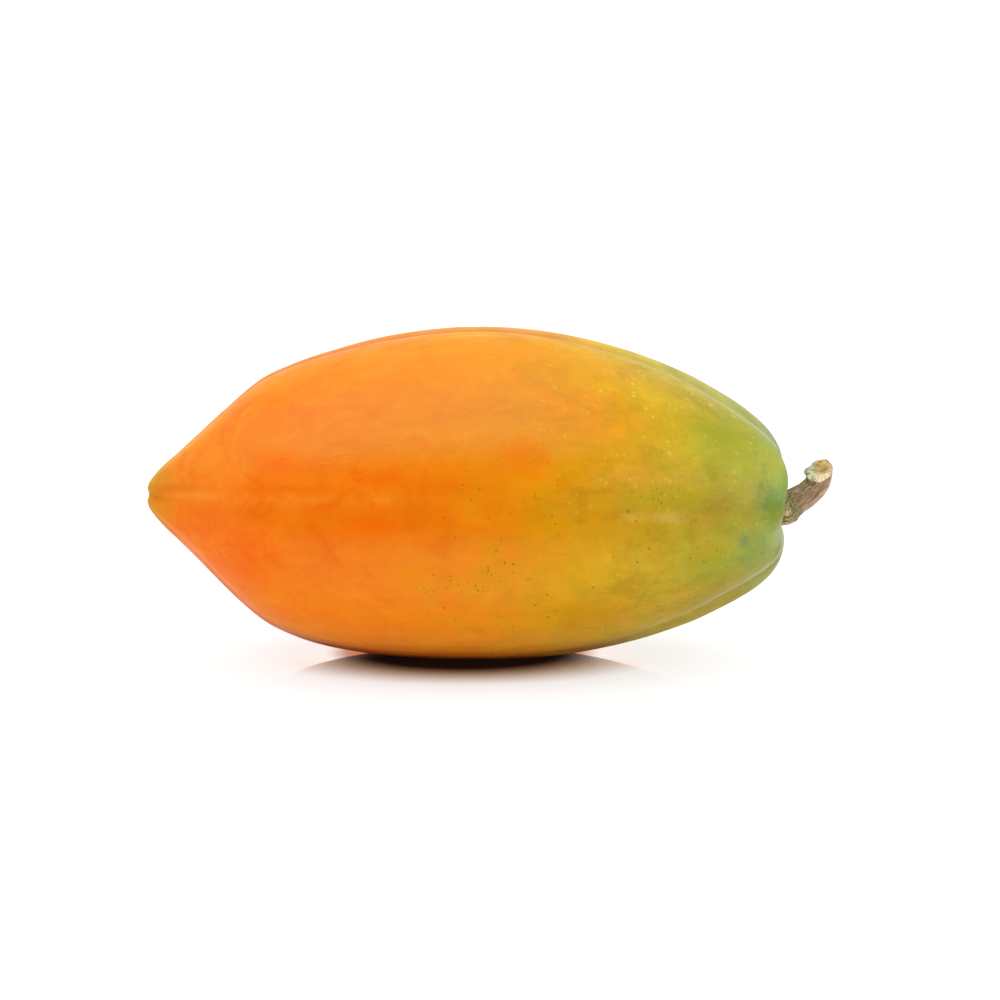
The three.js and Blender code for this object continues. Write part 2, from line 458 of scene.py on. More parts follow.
@dataclass(frozen=True)
class SkinFinish:
    """Waxy papaya skin: orange at the tip, green at the stalk, with specks, dots and soft blotches."""

    length: float = 0.25
    roughness: float = 0.44
    gloss: float = 0.07
    gloss_tint: tuple = (1.0, 0.72, 0.36, 1.0)
    stops: tuple = (
        (0.0, tone(204, 130, 22)), (0.03, tone(216, 123, 20)), (0.06, tone(232, 120, 18)),
        (0.12, tone(235, 114, 12)), (0.20, tone(232, 111, 8)), (0.32, tone(230, 112, 6)),
        (0.47, tone(226, 117, 4)), (0.56, tone(220, 124, 4)), (0.63, tone(209, 134, 4)),
        (0.70, tone(202, 143, 20)), (0.78, tone(189, 148, 33)), (0.86, tone(173, 147, 42)),
        (0.93, tone(163, 149, 52)), (0.975, tone(158, 154, 66)), (1.0, tone(138, 150, 74)),
    )
    # filters laid over the colour round the fruit, from its underside, 0, to its top, 1: partly the skin's
    # own tint and partly painted light, paler on top where the overhead light falls
    round_tints_and_top_light: tuple = (
        (0.0, (0.94, 1.06, 1.0, 1.0)), (0.22, (0.98, 1.16, 1.2, 1.0)), (0.42, (0.97, 1.02, 1.0, 1.0)),
        (0.52, (1.05, 1.15, 1.8, 1.0)), (0.68, (0.97, 1.2, 1.2, 1.0)), (0.79, (0.94, 1.12, 0.9, 1.0)),
        (0.88, (0.92, 1.18, 0.9, 1.0)), (1.0, (0.9, 1.4, 1.6, 1.0)),
    )
    # painted shade: filters laid over the colour from the floor, 0, to the height where the painted shade
    # ends, 1
    painted_shade_height: float = 0.032
    painted_floor_shade: tuple = (
        (0.0, (0.26, 0.22, 0.05, 1.0)), (0.28, (0.46, 0.42, 0.06, 1.0)), (0.4, (0.68, 0.72, 0.08, 1.0)),
        (0.52, (0.85, 0.95, 0.15, 1.0)), (0.7, (0.96, 1.0, 0.5, 1.0)), (1.0, (1.0, 1.0, 1.0, 1.0)),
    )
    patches: tuple = (
        Patch((94, -60, 6), (22, 40, 6), tone(234, 92, 2), 0.6),
        Patch((90, -60, -11), (20, 40, 7), tone(230, 90, 0), 0.6),
        Patch((55, -50, 11), (16, 40, 8), tone(240, 96, 14), 0.5),
        Patch((36, -45, -18), (22, 40, 14), tone(230, 92, 10), 0.6),
        Patch((26, -40, 12), (26, 50, 18), tone(236, 132, 26), 0.45),
        Patch((34, -40, -28), (34, 50, 13), tone(228, 88, 6), 0.6),
        Patch((117, -62, 3), (26, 40, 6), tone(226, 102, 0), 0.5),
        # painted shade along the front groove
        Patch((174, -60, 1), (20, 40, 2.6), tone(186, 122, 0), 0.6),
        Patch((176, -55, -9), (16, 40, 12), tone(196, 136, 0), 0.45),
        Patch((173, -50, -47), (22, 50, 7), tone(184, 130, 0), 0.6),
        Patch((115, -45, -54), (12, 50, 7), tone(206, 124, 0), 0.5),
        Patch((103, -60, -30), (11, 40, 7), tone(220, 132, 10), 0.4),
        Patch((146, -60, 14), (16, 40, 10), tone(228, 100, 2), 0.45),
        Patch((190, -55, 7), (24, 40, 6), tone(226, 150, 54), 0.4, 1.3),
        # painted shade: a darker band along the front groove near the stalk
        Patch((208, -50, -1), (44, 40, 7), tone(166, 152, 16), 0.65, 1.1),
        # painted highlight on the shoulder below the front groove
        Patch((200, -50, -9), (26, 40, 3), tone(206, 178, 96), 0.3, 0.9),
        # painted shade on the front groove's upper wall near the tip
        Patch((10, -20, 2.7), (20, 40, 2.4), tone(200, 112, 16), 0.55, 0.4),
        # painted shade on the front groove's upper wall
        Patch((58, -50, 2.2), (34, 40, 2.4), tone(214, 92, 4), 0.3, 0.9),
        # painted highlight on the front groove's lower wall near the tip
        Patch((15, -40, -0.4), (26, 40, 2.2), tone(242, 152, 48), 0.45, 0.4),
        # painted highlight on the front groove's lower wall
        Patch((72, -50, -2.4), (54, 40, 3), tone(242, 138, 42), 0.35, 1.0),
        Patch((17, -30, -13), (22, 40, 13), tone(230, 98, 12), 0.75),
        Patch((244, -30, 13), (9, 40, 9), tone(172, 168, 66), 0.5),
        Patch((241, -20, 22), (8, 24, 7), tone(128, 146, 70), 0.45, 1.4),
        # painted shade on the top rim at the stalk's end
        Patch((246, 1, 22), (11, 13, 12), tone(130, 128, 100), 0.7, 0.5),
        Patch((243, -3, -31), (12, 13, 13), tone(140, 162, 76), 0.6, 0.8),
        Patch((0.6, -2, -4.1), (2.6, 5, 2.4), tone(120, 118, 60), 0.6),
        Patch((223, -35, 23), (14, 40, 12), tone(140, 148, 40), 0.5),
        Patch((222, -40, -27), (18, 40, 12), tone(134, 136, 34), 0.5),
        Patch((244, -24, -4), (12, 26, 11), tone(100, 140, 38), 0.8, 1.0),
        Patch((240.5, -30, -5), (4, 24, 3.2), tone(96, 128, 82), 0.6),
        Patch((237, -30, -20), (10, 30, 12), tone(118, 140, 76), 0.55, 1.6),
        Patch((249.5, -25, -19), (6.5, 40, 16), tone(150, 166, 128), 0.8, 0.8),
        Patch((231.5, -35, -17), (4, 30, 3.4), tone(112, 130, 84), 0.5),
    )
    # a place that stays ripe for longer: centre, reach and shift along the ramp of colours
    lean: tuple = ((176, -50, 28), (62, 60, 36), -0.125)
    wrinkled: tuple = ((78, -58, 10), (66, 40, 20))
    speckled: tuple = ((196, -50, 0), (40, 40, 6))
    # filters
    redder: tuple = (0.97, 0.82, 0.62)
    yellower: tuple = (1.02, 1.16, 1.5)
    vein_dark: tuple = (0.87, 0.94, 0.8)
    vein_light: tuple = (1.1, 1.04, 1.0)
    top_middle: tuple = (1.05, 0.86, 1.1)
    top_stalk: tuple = (0.92, 0.94, 1.3)
    under_stalk: tuple = (0.88, 0.82, 1.0)
    wrinkle: tuple = (0.97, 0.84, 0.66)
    # painted shade on the far lobe just past a groove
    dull: tuple = (0.88, 0.8, 0.84)
    # painted shade in the grooves and in their creases
    groove: tuple = tone(170, 110, 20)
    crease: tuple = tone(130, 90, 30)
    # colours; that of the painted highlight on the shoulders is given along the fruit
    shoulder_highlight: tuple = ((0.4, tone(252, 206, 136)), (0.8, tone(206, 180, 112)), (1.0, tone(186, 192, 160)))
    bloom: tuple = tone(255, 225, 190)
    halo: tuple = tone(184, 146, 6)
    speck: tuple = tone(108, 94, 22)
    pore: tuple = tone(232, 200, 70)

    def build(self) -> bpy.types.Material:
        """Make the skin's material.

        Returns:
            The material.
        """
        s = SkinLayers(self)
        s.colour = s.ramp(s.ripeness(), self.stops)
        s.mottle()
        # partly painted light: the colour filtered round the fruit, paler towards the top
        s.paint(1.0, s.ramp(s.up, self.round_tints_and_top_light), Lay.FILTER)
        s.bloom()
        # painted shade on the underside, darkest where the fruit meets the floor
        s.paint(1.0, s.ramp(s.above_floor, self.painted_floor_shade), Lay.FILTER)
        s.veins()
        s.patches()
        s.wrinkle()
        s.grooves()
        s.specks()
        s.pores()
        dull, shiny = self.roughness + 0.06, self.roughness - 0.05
        rough = s.step(s.cloud(s.place, 120.0), 0.3, 0.7, shiny, dull)
        relief = s.relief((
            (s.cloud(s.place, 900.0, 2.0, 0.6), 0.00003), (s.blotch, 0.0003), (s.fine, 0.0001),
            (s.streak, 0.0001), (s.wrinkles, 0.0003), (s.dark, -0.00012),
        ))
        return s.surface(
            Base_Color=s.colour, Roughness=rough, Specular_IOR_Level=self.gloss,
            Specular_Tint=self.gloss_tint, Normal=relief,
        )


class SkinLayers(Wiring):
    """The layers of the skin, over values that several of them read."""

    def __init__(self, look: SkinFinish) -> None:
        """Lay out the shared values.

        Args:
            look: The colours and their places.
        """
        super().__init__("skin")
        self.look = look
        # height over the floor, as a share of the height of the painted shade
        self.above_floor = self.math(Work.DIVIDE, self.parts(self.place)[2], look.painted_shade_height)
        self.place = self.before_roll()
        along, _, self.height = self.parts(self.place)
        self.share = self.math(Work.DIVIDE, along, look.length)  # of the length, from the tip
        self.up = self.field("up")
        self.blotch = self.cloud(self.stretch(self.place, (50.0, 58.0, 58.0)), 1.0, 4.0, 0.6, 0.6)
        self.streak = self.cloud(self.stretch(self.place, (34.0, 120.0, 120.0)), 1.0, 4.0, 0.6, 0.8)
        self.fine = self.cloud(self.stretch(self.place, (200.0, 270.0, 270.0)), 1.0, 3.0, 0.6)
        self.frayed = self.math(Work.ADD, self.swing(self.blotch, 1.5), self.swing(self.fine, 1.6))
        # patterns made by their own layers, which the relief reads too
        self.wrinkles: Socket | None = None
        self.dark: Socket | None = None

    def ripeness(self) -> Socket:
        """Share of the length, moved about by the patterns and by the lean.

        Returns:
            Place on the ramp of colours.
        """
        ripe, calm = self.share, self.step(self.share, 0.0, 0.14, 0.25, 1.0)
        broad = self.cloud(self.place, 16.0)
        changes = ((broad, 0.14), (self.blotch, 0.2), (self.streak, 0.05), (self.fine, 0.08))
        for pattern, amount in changes:
            ripe = self.math(Work.ADD, ripe, self.times(self.swing(pattern, amount), calm))
        centre, reach, shift = self.look.lean
        return self.math(Work.ADD, ripe, self.times(self.near(centre, reach), shift))

    def mottle(self) -> None:
        """Vary the skin between redder and yellower, in blotches, streaks and fine mottling."""
        amounts = ((self.blotch, 1.0, 1.0), (self.streak, 0.45, 0.4), (self.fine, 0.4, 0.4))
        for pattern, red, yellow in amounts:
            self.dye(self.step(pattern, 0.5, 0.7, 0.0, red), self.look.redder)
            self.dye(self.step(pattern, 0.5, 0.3, 0.0, yellow), self.look.yellower)

    def bloom(self) -> None:
        """Lay a thin pale bloom on the shoulders, and darken the top and underside at the stalk's end."""
        share, up, step, times = self.share, self.up, self.step, self.times
        upper = times(step(up, 0.55, 0.7), step(up, 0.92, 0.76, 0.0, 0.055))
        lower = times(step(up, 0.12, 0.22), step(up, 0.42, 0.3, 0.0, 0.02))
        both = self.math(Work.ADD, upper, lower)
        bloom = times(both, step(share, 0.85, 0.55, 0.15, 1.0), step(share, 0.06, 0.3, 0.2, 1.0))
        self.paint(bloom, self.look.bloom)
        top = step(up, 0.8, 0.95)
        self.dye(times(top, step(share, 0.5, 0.62)), self.look.top_middle)
        self.dye(times(top, step(share, 0.66, 0.86)), self.look.top_stalk)
        self.dye(times(step(up, 0.28, 0.12), step(share, 0.48, 0.7)), self.look.under_stalk)

    def veins(self) -> None:
        """Marble the green half with darker and lighter veins."""
        vein = self.cloud(self.stretch(self.place, (80.0, 110.0, 110.0)), 1.0, 5.0, 0.65, 0.4)
        late = self.step(self.share, 0.52, 0.74, 0.1, 1.0)
        self.dye(self.times(self.step(vein, 0.5, 0.68), late), self.look.vein_dark)
        self.dye(self.times(self.step(vein, 0.5, 0.33), late), self.look.vein_light)

    def patches(self) -> None:
        """Lay on the soft patches, with frayed edges: blotches of the skin's own colour, and along the
        front groove and at the stalk's end some of painted shade and painted highlight.
        """
        for patch in self.look.patches:
            edge = self.times(self.frayed, patch.ragged)
            there = self.near(patch.centre, patch.reach, edge)
            self.paint(self.times(there, patch.strength), patch.colour)

    def wrinkle(self) -> None:
        """Draw fine wrinkles along a part of the ripe half."""
        drawn_out = self.stretch(self.place, (30.0, 330.0, 330.0), (0.2, 0.4, 0.1))
        there = self.near(*self.look.wrinkled, self.frayed)
        self.wrinkles = self.times(there, self.cloud(drawn_out, 1.0, 3.0, 0.6, 1.2))
        self.dye(self.step(self.wrinkles, 0.4, 0.6, 0.0, 0.8), self.look.wrinkle)

    def grooves(self) -> None:
        """Draw painted shade in the grooves between the lobes and their creases, a painted highlight on
        the shoulders beside them, and painted shade on the far lobe past some grooves.
        """
        # painted shade on the far lobe just past some grooves
        beyond = self.times(self.field("beyond"), self.step(self.share, 0.78, 0.5, 0.15, 1.0))
        self.dye(beyond, self.look.dull)
        # painted highlight on the lobes' shoulders beside the grooves
        self.paint(self.times(self.field("shoulder"), 0.5), self.ramp(self.share, self.look.shoulder_highlight))
        # painted shade darkening the grooves and their creases
        self.paint(self.times(self.field("groove"), 0.1), self.look.groove, Lay.FILTER)
        self.paint(self.times(self.field("crease"), 0.4), self.look.crease, Lay.FILTER)

    def specks(self) -> None:
        """Scatter dark latex specks over the lower front, in clusters and singly."""
        share, step, times = self.share, self.step, self.times
        cluster = step(self.cloud(self.place, 75.0, 1.0), 0.55, 0.63)
        cluster = self.math(Work.MAXIMUM, cluster, self.near(*self.look.speckled))
        lower = step(self.height, 0.02, -0.01, 0.3, 1.0)
        belly = times(step(share, 0.36, 0.5), step(share, 1.0, 0.85), lower)
        small = times(self.dots(self.place, 620.0, 0.22, 0.1, 0.16), cluster)
        single = self.dots(self.stretch(self.place, (1, 1, 1), (0.2, 0.5, 0.1)), 230.0, 0.09, 0.2, 0.08)
        self.dark = times(self.math(Work.MAXIMUM, small, single), belly)
        self.paint(times(cluster, belly, 0.2), self.look.halo)
        self.paint(times(self.dark, 0.55), self.look.speck)

    def pores(self) -> None:
        """Scatter pale pores over the upper part of the green half."""
        share, step, times = self.share, self.step, self.times
        upper = step(self.height, -0.01, 0.02, 0.35, 1.0)
        green = times(step(share, 0.5, 0.74), step(share, 1.05, 0.95), upper)
        crowd = step(self.cloud(self.place, 70.0, 2.0, 0.6), 0.4, 0.62, 0.25, 1.0)
        spots = self.stretch(self.place, (1, 1, 1), (0.31, 0.12, 0.4))
        small = times(self.dots(spots, 440.0, 0.14, 0.1, 0.24), crowd)
        pale = self.math(Work.MAXIMUM, self.dots(spots, 230.0, 0.08, 0.1, 0.24), small)
        self.paint(times(pale, green, 0.42), self.look.pore)


@dataclass(frozen=True)
class BarkFinish:
    """Dry stalk: ridged fibrous bark, a cracked dark collar with corky flecks and a pale cut face."""

    roughness: float = 0.8
    gloss: float = 0.25
    # ramps over random patterns
    bark: tuple = (
        (0.34, tone(114, 88, 66)), (0.46, tone(154, 124, 96)),
        (0.56, tone(178, 148, 122)), (0.68, tone(206, 180, 156)),
    )
    collar: tuple = (
        (0.34, tone(84, 72, 46)), (0.46, tone(124, 116, 78)),
        (0.58, tone(150, 140, 98)), (0.7, tone(192, 170, 124)),
    )
    cork: tuple = ((0.42, tone(104, 84, 52)), (0.52, tone(226, 196, 146)), (0.64, tone(204, 132, 78)))
    wood: tuple = ((0.36, tone(172, 126, 70)), (0.5, tone(206, 170, 104)), (0.64, tone(220, 200, 146)))
    cream: tuple = ((0.36, tone(196, 166, 110)), (0.48, tone(238, 220, 182)), (0.65, tone(244, 230, 200)))
    # single colours
    moss: tuple = tone(136, 132, 98)
    painted_rim_light: tuple = tone(232, 206, 190)
    lichen: tuple = tone(128, 118, 80)
    sap_dark: tuple = tone(168, 170, 124)
    sap_pale: tuple = tone(212, 212, 172)
    cut_edge: tuple = tone(112, 116, 92)
    mould: tuple = tone(84, 74, 52)
    far_edge: tuple = tone(206, 172, 152)

    def build(self) -> bpy.types.Material:
        """Make the stalk's material.

        Returns:
            The material.
        """
        s = BarkLayers(self)
        s.bark()
        s.collar()
        s.cut_face()
        relief = s.relief(((s.fibre, 0.0007), (s.crack, 0.0005)))
        return s.surface(
            Base_Color=s.colour, Roughness=self.roughness, Specular_IOR_Level=self.gloss, Normal=relief
        )


class BarkLayers(Wiring):
    """The layers of the stalk's colour, over values that several of them read."""

    def __init__(self, look: BarkFinish) -> None:
        """Lay out the shared values.

        Args:
            look: The colours.
        """
        super().__init__("stem_bark")
        self.look = look
        self.grain = self.field("grain", vector=True)  # coordinates drawn out along the stalk
        self.run = self.field("run")  # distance along the stalk from the fruit, in millimetres
        self.fibre = self.cloud(self.grain, 1.0, 4.0, 0.65)
        self.crack = self.cloud(self.stretch(self.grain, (1.5, 1.5, 3.4)), 1.0, 4.0, 0.7)

    def bark(self) -> None:
        """Lay on the bark: brown fibres, grey-green on the upper side and a pale painted rim light along
        the lower side.
        """
        above = self.parts(self.grain)[0]
        self.colour = self.ramp(self.fibre, self.look.bark)
        self.paint(self.step(above, 1.5, 4.6, 0.0, 0.6), self.look.moss)
        # painted rim light: pale along the lower side of the stalk
        self.paint(self.step(above, -3.4, -4.9, 0.0, 0.6), self.look.painted_rim_light)
        self.paint(self.step(self.cloud(self.place, 300.0), 0.5, 0.66, 0.0, 0.4), self.look.lichen)

    def collar(self) -> None:
        """Lay on the collar: dark green-brown, with corky flecks where it meets the fruit."""
        fleck = self.cloud(self.stretch(self.grain, (0.9, 0.9, 1.6), (7, 3, 0)), 1.0, 2.0, 0.6)
        corky = self.times(self.step(self.run, 1.3, 0.3), self.step(fleck, 0.44, 0.54))
        collar = self.mix(corky, self.ramp(self.crack, self.look.collar), self.ramp(fleck, self.look.cork))
        self.paint(self.step(self.run, 6.2, 3.4), collar)

    def cut_face(self) -> None:
        """Lay on the cut face: tan pith, a cream crescent with rays, grey-green at one side."""
        look, step, times, bark = self.look, self.step, self.times, self.colour
        up, side, _ = self.parts(self.grain)
        rim = self.field("rim")
        left, low = times(up, 0.2, rim), times(side, 0.2, rim)
        mottle = self.cloud(self.place, 420.0, 3.0, 0.6)
        rays = self.cloud(self.stretch(self.grain, (1.0, 1.0, 0.0)), 1.3, 2.0, 0.6)
        self.colour = self.ramp(mottle, look.wood)
        self.paint(times(step(low, 0.2, 0.45), step(left, 0.5, 0.2)), self.ramp(rays, look.cream))
        self.paint(step(left, 0.2, 0.5), self.mix(step(mottle, 0.4, 0.6), look.sap_dark, look.sap_pale))
        self.paint(step(left, 0.78, 0.95, 0.0, 0.7), look.cut_edge)
        spot = step(self.cloud(self.place, 600.0), 0.6, 0.68)
        self.paint(times(spot, step(left, 0.1, 0.5), 0.5), look.mould)
        self.paint(times(step(left, -0.7, -0.95), 0.7), look.far_edge)
        self.colour = self.mix(self.field("cut"), bark, self.colour)


@dataclass(frozen=True)
class FloorFinish:
    """White light table whose glass mirrors the fruit only where it stands, with a painted warm glow and a
    painted contact shadow around it; sizes in millimetres.
    """

    white: float = 0.3
    glow: float = 0.78
    roughness: float = 0.9
    mirror_roughness: float = 0.05
    centre: tuple = (-5.0, 0.0, 0.0)
    reach: tuple = (66.0, 38.0, 100.0)
    # painted warm glow as filters over the glass in front of the fruit, and the mirror's colour darkened
    # towards the fruit as painted contact shadow, both from the middle outwards
    painted_warm_glow: tuple = (
        (0.55, (2.4, 1.1, 0.55, 1.0)), (0.65, (2.0, 1.0, 0.5, 1.0)), (0.75, (1.45, 0.9, 0.52, 1.0)),
        (0.87, (1.18, 0.9, 0.66, 1.0)), (1.0, (1.06, 0.92, 0.82, 1.0)),
    )
    shadowed_mirror_colour: tuple = (
        (0.44, tone(112, 42, 16)), (0.68, tone(190, 124, 88)), (0.85, tone(246, 230, 222)),
    )

    def build(self) -> bpy.types.Material:
        """Make the floor's material.

        Returns:
            The material.
        """
        w = Wiring("studio_floor")
        off = w.away(self.centre, self.reach)
        front = w.times(w.step(w.parts(w.place)[1], -0.006, -0.016), w.step(off, 1.25, 1.0))
        # painted warm glow of the fruit's colour on the floor in front of it
        warm_glow_tint = w.mix(front, (1.0, 1.0, 1.0, 1.0), w.ramp(off, self.painted_warm_glow))
        white = w.mix(1.0, warm_glow_tint, (self.white, self.white, self.white, 1.0), Lay.FILTER)
        w.surface(
            Base_Color=white, Roughness=self.roughness, Specular_IOR_Level=0.0,
            Emission_Color=warm_glow_tint, Emission_Strength=self.glow,
        )
        matt = w.output.inputs["Surface"].links[0].from_socket
        # painted contact shadow: the mirror darker and warmer towards the fruit
        shadowed_mirror_colour = w.ramp(off, self.shadowed_mirror_colour)
        shine = w.node("BsdfGlossy", {"Roughness": self.mirror_roughness, "Color": shadowed_mirror_colour})
        mirror = w.math(Work.ADD, w.step(off, 1.3, 0.58, 0.0, 0.896), w.step(off, 1.9, 1.0, 0.0, 0.1))
        both = w.node("MixShader", {0: mirror, 1: matt, 2: shine.outputs[0]})
        w.put(w.output.inputs["Surface"], both.outputs[0])
        return w.material


# ---- fruit -------------------------------------------------------------------------------------


@dataclass
class Fruit:
    """The whole fruit: a blunt-tipped, five-lobed body; sizes in millimetres, angles in degrees."""

    finish: SkinFinish = field(default_factory=SkinFinish)
    lobes: int = 5
    faces_per_lobe: int = 64
    rings: int = 270
    groove_width: float = 6.0
    shoulder: float = 0.22
    softness: tuple = (1.4, 1.0, 1.0, 1.0, 1.0)
    # for each groove, near the tip, at the belly and near the stalk
    crease: tuple = ((0.0, 0.0, 0.0), (0.8, 0.6, 0.15), (0.7, 0.8, 0.8), (0.7, 0.8, 0.8), (0.8, 0.0, 0.4))
    # strength of the painted highlight on the shoulders
    shoulder_highlight: tuple = ((0.0, 0.0, 0.0), (0.7, 0.9, 1.0), (0.4, 0.4, 0.8), (0.4, 0.4, 0.8), (0.6, 0.0, 1.0))
    # for each groove, how strong the painted highlight and the painted shade are on the skin just past it
    # and just before it
    highlight_side: tuple = ((0.0, 0.0), (0.0, 1.0), (0.6, 0.5), (0.5, 0.6), (1.0, 0.0))
    shaded_side: tuple = ((0.0, 0.0), (1.0, 0.0), (0.0, 0.0), (0.0, 0.0), (0.0, 1.0))
    tilt: float = -0.02
    # distance from the tip, radius, heading, handle in, handle out
    outline: tuple = (
        (0.9, 0.0, 90.0, 0.0, 1.0), (0.0, 3.9, 90.0, 1.5, 1.7), (9.2, 15.1, 42.0, 5.0, 9.0),
        (44.0, 47.2, 36.0, 14.0, 13.0), (131.0, 65.8, 0.0, 43.5, 36.0), (222.0, 43.8, -29.5, 23.5, 12.0),
        (250.1, 16.0, -90.0, 13.0, 4.0), (248.5, 8.0, -100.0, 3.0, 2.5), (247.9, 0.0, -90.0, 2.0, 0.0),
    )
    axis_height: Stations = (
        (0, 65), (22, 64.3), (60, 63.1), (95, 64.5), (125, 65.5),
        (160, 65.1), (200, 64), (230, 62.8), (250.4, 61.5),
    )
    grooves: tuple = ((0, 0, -4), (84, 77, 71), (144, 149, 142), (216, 213, 214), (284, 276, 295))
    depth: Stations = (
        (0, 0.2), (0.03, 0.8), (0.08, 0.9), (0.25, 0.5), (0.5, 0.45),
        (0.7, 0.8), (0.86, 1.1), (0.93, 0.6), (0.97, 0.3), (1, 0),
    )
    fullness: Stations = (
        (0, 0), (0.05, 0.9), (0.25, 1), (0.5, 1.2), (0.75, 1.5), (0.87, 2), (0.94, 0.8), (1, 0),
    )
    reach: tuple = (0.2, -1.0, -1.1, -2.3, -3.3)

    def _outline_table(self) -> np.ndarray:
        """Finely sampled half outline.

        Returns:
            Rows of share of the length, distance from the tip, radius, and the heading's two parts.
        """
        runs = []
        t = np.linspace(0.0, 1.0, 400)[:, None]
        for (a0, r0, h0, _, out), (a1, r1, h1, into, _) in zip(self.outline, self.outline[1:]):
            p0, p3 = np.array([a0, r0]), np.array([a1, r1])
            lead = np.array([math.cos(math.radians(h0)), math.sin(math.radians(h0))])
            trail = np.array([math.cos(math.radians(h1)), math.sin(math.radians(h1))])
            p1, p2 = p0 + out * lead, p3 - into * trail
            run = (1 - t) ** 3 * p0 + 3 * t * (1 - t) ** 2 * p1 + 3 * t**2 * (1 - t) * p2 + t**3 * p3
            runs.append(run[1:] if runs else run)
        spots = np.vstack(runs)
        steps = np.diff(spots, axis=0)
        length = np.concatenate([[0.0], np.cumsum(np.hypot(*steps.T))])
        heading = np.gradient(spots, length, axis=0)
        heading /= np.hypot(*heading.T)[:, None]
        return np.column_stack([length / length[-1], spots, heading])

    def _at_groove(self, table: tuple, index: np.ndarray, share: np.ndarray) -> np.ndarray:
        """Value of a groove between those near the tip, at the belly and near the stalk.

        Args:
            table: The three values of each groove.
            index: Which groove, for each point; groove 5 is groove 0 again.
            share: Share of the outline's length.

        Returns:
            The values.
        """
        tip, belly, stalk = np.array(table, dtype=float)[index % self.lobes].T
        early, late = ease(share / 0.5), ease((share - 0.5) / 0.45)
        return tip + (belly - tip) * early + (stalk - belly) * late

    def _lay(self, turn: np.ndarray, fall: np.ndarray) -> tuple[np.ndarray, dict[str, np.ndarray]]:
        """Lay a ball's grid over the skin.

        Args:
            turn: Step round the axis for each point.
            fall: Step from the tip for each point.

        Returns:
            Places in millimetres, and the values that the material reads.
        """
        along = fall / self.rings
        share = 0.3 * along + 0.35 * (1.0 - np.cos(math.pi * along))
        lobe = turn // self.faces_per_lobe
        even = (turn % self.faces_per_lobe) / self.faces_per_lobe
        near = 0.5 * (2.0 * np.minimum(even, 1.0 - even)) ** 1.5
        across = np.where(even > 0.5, 1.0 - near, near)
        table = self._outline_table()
        at, radius, ahead, rise = (np.interp(share, table[:, 0], table[:, i]) for i in range(1, 5))
        start = self._at_groove(self.grooves, lobe, share)
        span = self._at_groove(self.grooves, lobe + 1, share) + 360.0 * ((lobe + 1) // self.lobes) - start
        angle = np.radians(start + span * across)
        crest = 2.0 * np.minimum(across, 1.0 - across)
        calm = np.clip(radius / 3.0, 0.0, 1.0)
        half = np.maximum(np.radians(span / 2.0) * radius, 1e-6)
        nearest = (lobe + (across > 0.5)) % self.lobes
        soft = np.array(self.softness)[nearest]
        width = np.minimum(self.groove_width * soft / half, 0.42)
        groove = np.exp(-((crest / width) ** 1.7))
        edge = np.exp(-(((crest / width - 1.9) / 0.8) ** 2)) / soft**3
        deep = blend(self.depth, share) * (1.0 + 0.6 * (soft > 1.0) * ease((0.14 - share) / 0.08))
        lift = -0.5 * blend(self.fullness, share) * np.cos(math.pi * crest)
        lift = calm * (lift - deep * groove + self.shoulder * deep * edge)
        off = crest * half
        tip_split = 0.6 * ease((0.03 - share) / 0.02)
        keen = np.maximum(self._at_groove(self.crease, nearest, share), tip_split)
        crease = keen * np.exp(-((off / 0.45) ** 2)) * ease(share / 0.01)
        lift -= 0.22 * calm * crease
        # which side of each groove gets the painted highlight
        side = np.array(self.highlight_side)[nearest, (across > 0.5).astype(int)]
        broad = ease((share - 0.72) / 0.15)
        shoulder_highlight = self._at_groove(self.shoulder_highlight, nearest, share) * side * ease((share - 0.06) / 0.1)
        shoulder = shoulder_highlight * np.exp(-(((off - 1.3 - 1.4 * broad) / (0.8 + 1.3 * broad)) ** 2))
        # painted shade on the lobe just past some grooves
        dull = np.array(self.shaded_side)[nearest, (across > 0.5).astype(int)]
        beyond = dull * np.exp(-((off / 9.0) ** 2)) * ease((share - 0.08) / 0.08)
        around = radius + ahead * lift
        lobe_reach = calm * np.array(self.reach)[lobe] * ease(crest) * ease((share - 0.78) / 0.17)
        lean = self.tilt * around * np.sin(angle) * ease((share - 0.7) / 0.3)
        spots = np.column_stack([
            at - rise * lift + lobe_reach + lean,
            -around * np.cos(angle),
            curve_through(self.axis_height, at) + around * np.sin(angle),
        ])
        out = np.column_stack([-rise, -ahead * np.cos(angle), ahead * np.sin(angle)])
        uneven = 0.16 * wander(spots, 17.0, 3.1) + 0.05 * wander(spots, 6.0, 8.4)
        above = ease((rolled(spots)[:, 2] - 1.0) / 6.0)
        spots = rolled(spots + out * (uneven * calm * above)[:, None])
        spots[:, 2] = np.maximum(spots[:, 2], 0.0)
        return spots, {
            "groove": groove * ease(share / 0.05), "crease": crease, "shoulder": shoulder,
            "up": 0.5 + 0.5 * np.sin(angle), "beyond": beyond,
        }

    def build(self) -> bpy.types.Object:
        """Make the fruit and hand it to the frame.

        Returns:
            The fruit.
        """
        mesh, turn, fall = ball_grid(self.lobes * self.faces_per_lobe, self.rings)
        spots, fields = self._lay(turn, fall)
        piece = finish_piece("papaya_fruit", mesh, spots, fields, self.finish.build())
        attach(piece, "root")
        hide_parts("fruit")
        return piece


# ---- stalk -------------------------------------------------------------------------------------


